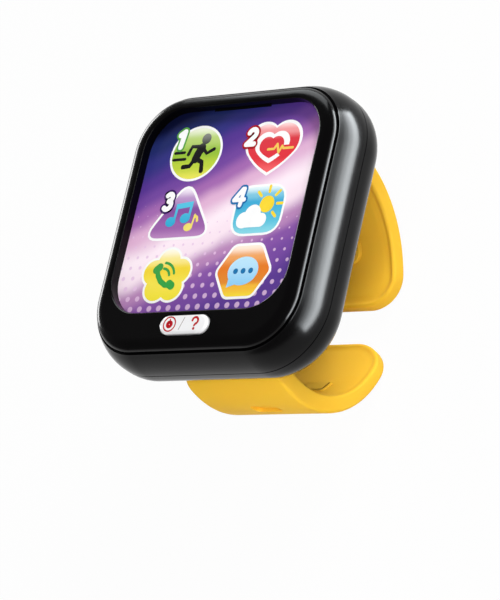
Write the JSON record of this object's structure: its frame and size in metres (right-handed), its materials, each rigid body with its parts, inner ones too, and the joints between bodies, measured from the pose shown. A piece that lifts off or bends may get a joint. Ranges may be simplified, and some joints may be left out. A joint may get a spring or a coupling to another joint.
{
  "type": "toy watch",
  "caption": "Toy wrist watch with a rounded gloss case, a recessed printed key face, a press button and an open two-piece cuff strap that swings out to take a wrist.",
  "frame": {"origin": "middle of the case's plan, on the surface that the two strap ends stand on", "axes": "+X to 3 o'clock, +Y to 12 o'clock, +Z out of the watch face"},
  "size_m": [0.0548, 0.0584, 0.0485],
  "materials": {
    "case_black": "deep gloss moulded black",
    "film_print": "glossy printed film, violet ground",
    "key_rubber": "translucent silicone rubber",
    "carbon": "conductive carbon rubber",
    "board_green": "solder mask",
    "resin_black": "potting resin",
    "capacitor_sleeve": "shrink sleeve",
    "steel": "plated steel",
    "foam": "closed-cell foam",
    "speaker_grey": "pressed basket",
    "cone_film": "clear polyester film",
    "cell_can": "bright nickel can",
    "brass": "plated spring sheet",
    "button_white": "gloss white with two red signs",
    "strap_yellow": "soft moulded golden yellow, satin"
  },
  "bodies": {
    "case": {"front_bezel": "case_black", "printed_film": "film_print", "key_sheet": "key_rubber", "key_pills": "carbon", "circuit_board": "board_green", "chip_blob": "resin_black", "board_capacitors": "capacitor_sleeve", "button_dome": "key_rubber", "mid_body": "case_black", "back_cover": "case_black", "case_screws": "steel", "speaker_gasket": "foam", "speaker_frame": "speaker_grey", "speaker_cone": "cone_film", "speaker_magnet": "steel", "button_cells": "cell_can", "cell_terminals": "brass", "upper_strap_pin": "steel", "lower_strap_pin": "steel"},
    "button": {"power_button": "button_white"},
    "upper_half": {"upper_strap": "strap_yellow"},
    "lower_half": {"lower_strap": "strap_yellow"},
    "door": {"battery_door": "case_black", "door_bridge": "brass", "door_screw": "steel"}
  },
  "joints": [
    {"name": "button_press", "type": "slide", "parent": "case", "child": "button", "axis": [0, 0, -1], "range_m": [0, 0.0007], "stiffness_N_per_m": 1500, "deforming": ["button_dome"]},
    {"name": "upper_strap_swing", "type": "hinge", "parent": "case", "child": "upper_half", "pos_m": [0, 0.02273, 0.0344], "axis": [1, 0, 0], "range_deg": [0, 25], "stiffness_Nm_per_rad": 0.08},
    {"name": "lower_strap_swing", "type": "hinge", "parent": "case", "child": "lower_half", "pos_m": [0, -0.02353, 0.0344], "axis": [-1, 0, 0], "range_deg": [0, 25], "stiffness_Nm_per_rad": 0.08},
    {"name": "battery_door_lift", "type": "slide", "parent": "case", "child": "door", "axis": [0, 0, -1], "range_m": [0, 0.008]}
  ]
}
